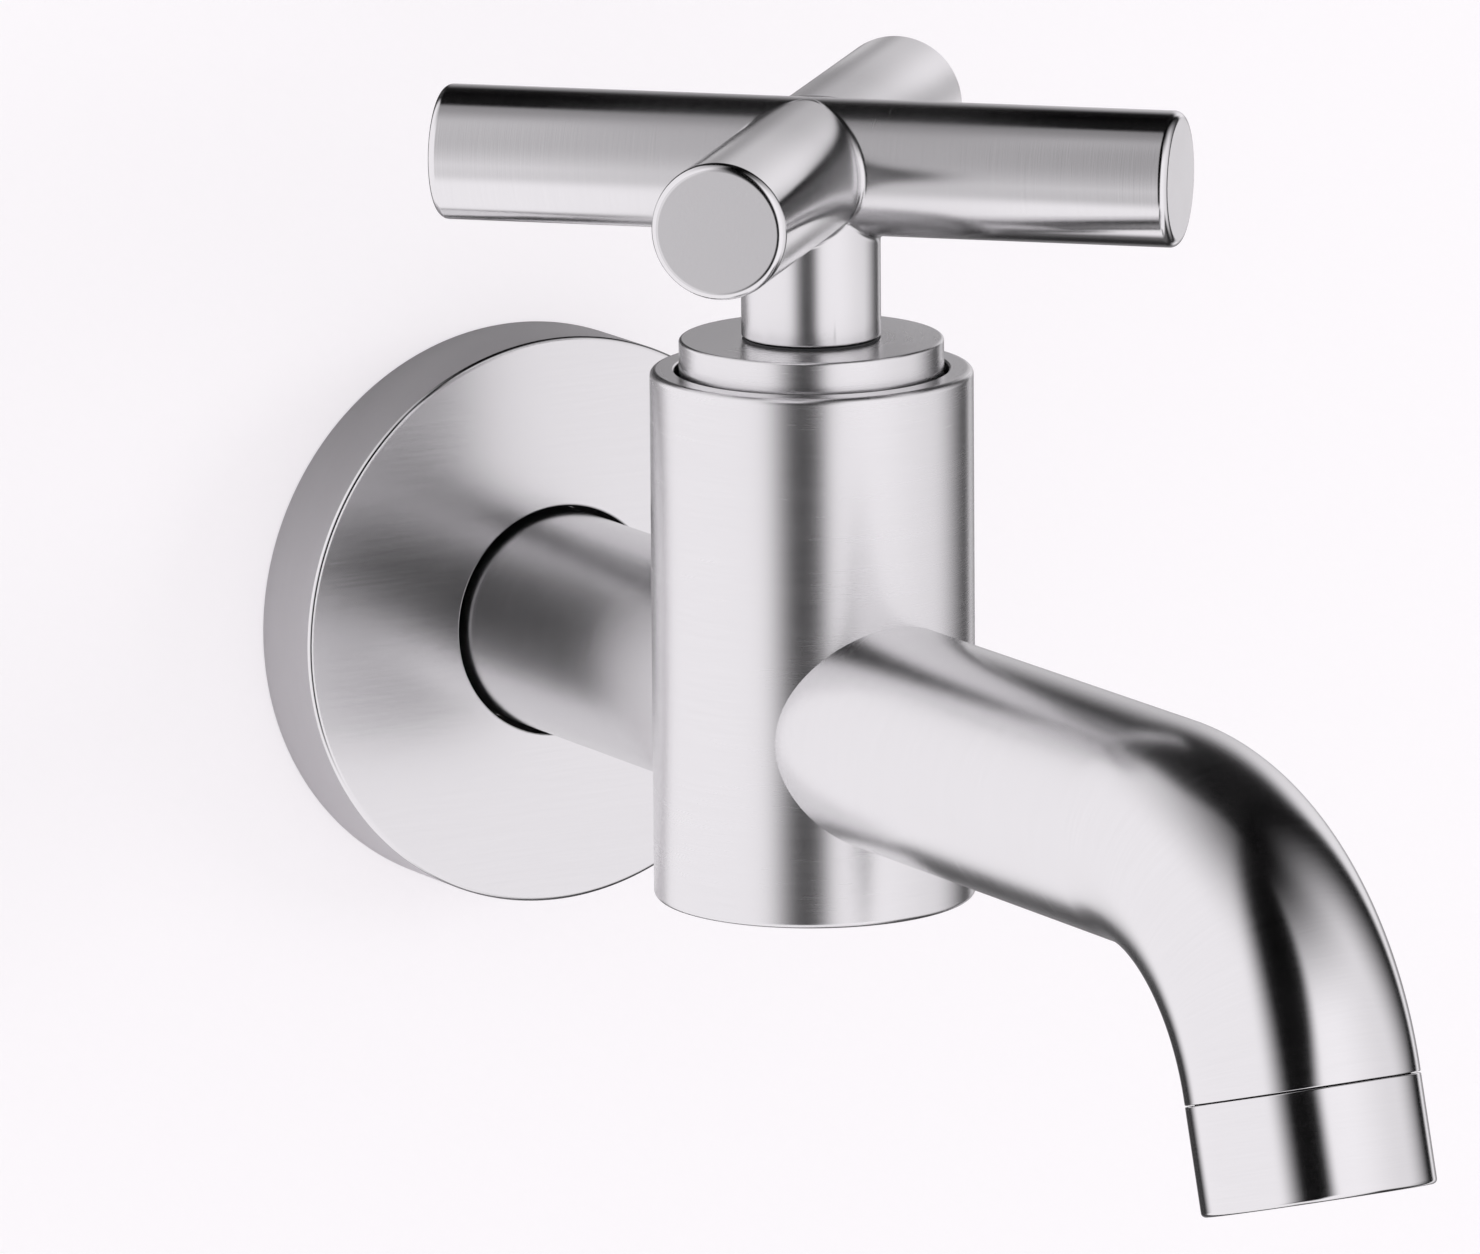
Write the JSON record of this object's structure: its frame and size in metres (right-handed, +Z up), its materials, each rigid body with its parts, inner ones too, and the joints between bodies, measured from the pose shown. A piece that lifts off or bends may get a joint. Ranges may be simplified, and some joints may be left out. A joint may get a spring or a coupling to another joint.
{
  "type": "wall-mounted tap",
  "caption": "Wall-mounted quarter-turn tap with a cross handle, a fixed bent spout with aerator and a sliding round wall rose.",
  "frame": {"origin": "where the inlet's centre line meets the finished wall", "axes": "+Y along the inlet thread into the wall, +Z up, -Y out of the wall along the spout, +X to the right as seen from the room"},
  "size_m": [0.0656, 0.1869, 0.101],
  "materials": {
    "brushed_steel": "satin",
    "plain_steel": "matte",
    "brass": "satin",
    "spring_steel": "satin",
    "rubber": "matte",
    "gasket_fibre": "matte",
    "ceramic": "gloss",
    "white_plastic": "matte",
    "black_plastic": "matte"
  },
  "bodies": {
    "tap": {"valve_body": "brushed_steel", "inlet_tube": "brushed_steel", "inlet_nipple": "plain_steel", "spout_tube": "brushed_steel", "outlet_bush": "plain_steel", "aerator_shell": "brushed_steel", "aerator_washer": "rubber", "aerator_insert": "white_plastic", "aerator_filter": "white_plastic", "aerator_grille": "white_plastic", "headwork_body": "brass", "headwork_seal": "gasket_fibre", "seat_washer": "rubber", "lower_disc": "ceramic", "cover_collar": "brushed_steel", "glide_ring": "black_plastic"},
    "handle": {"cross_bar": "brushed_steel", "front_arm": "brushed_steel", "rear_arm": "brushed_steel", "handle_stem": "brushed_steel", "spline_adaptor": "brass", "grub_screw": "spring_steel", "spindle": "brass", "spindle_seals": "rubber", "circlip": "spring_steel", "thrust_washer": "white_plastic", "upper_disc": "ceramic"},
    "rose": {"rose": "brushed_steel", "rose_ring": "rubber"}
  },
  "joints": [
    {"name": "handle_turn", "type": "hinge", "parent": "tap", "child": "handle", "pos_m": [0, -0.064, 0.0585], "axis": [0, 0, 1], "range_deg": [0, 90]},
    {"name": "rose_slide", "type": "slide", "parent": "tap", "child": "rose", "axis": [0, -1, 0], "range_m": [0, 0.036]}
  ]
}
